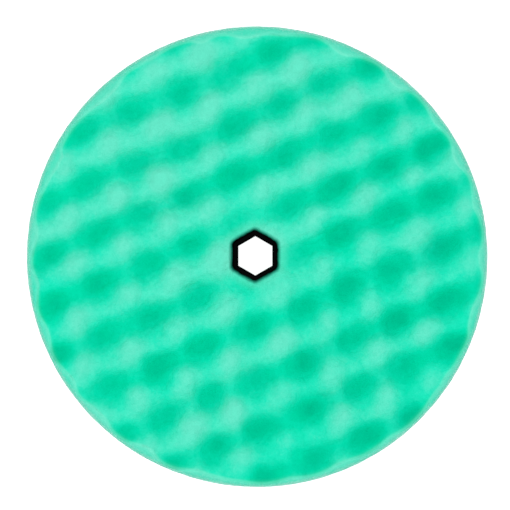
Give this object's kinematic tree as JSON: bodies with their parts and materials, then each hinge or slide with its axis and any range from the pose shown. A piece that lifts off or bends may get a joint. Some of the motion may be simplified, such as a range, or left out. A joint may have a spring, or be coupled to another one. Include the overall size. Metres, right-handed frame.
{
  "type": "polishing pad",
  "caption": "Round double-sided convoluted foam polishing pad on a flexible plate, with a hexagonal drive hub through its centre.",
  "frame": {"origin": "centre of the hub, on the plane midway between the two foam faces", "axes": "+Z along the spindle axis and out of the front foam face; +Y towards a corner of the drive hexagon; +X towards one of its flats"},
  "size_m": [0.203, 0.203, 0.048],
  "materials": {
    "front_foam": "matte",
    "rear_foam": "matte",
    "adhesive": "satin",
    "plate_plastic": "matte",
    "hub_plastic": "satin",
    "rivet_steel": "satin"
  },
  "bodies": {
    "root": {"front_foam_disc": "front_foam", "rear_foam_disc": "rear_foam", "front_bond_film": "adhesive", "rear_bond_film": "adhesive", "rim_bond_film": "adhesive", "backing_plate": "plate_plastic", "front_hub_half": "hub_plastic", "rear_hub_half": "hub_plastic", "hub_rivets": "rivet_steel"}
  },
  "joints": []
}
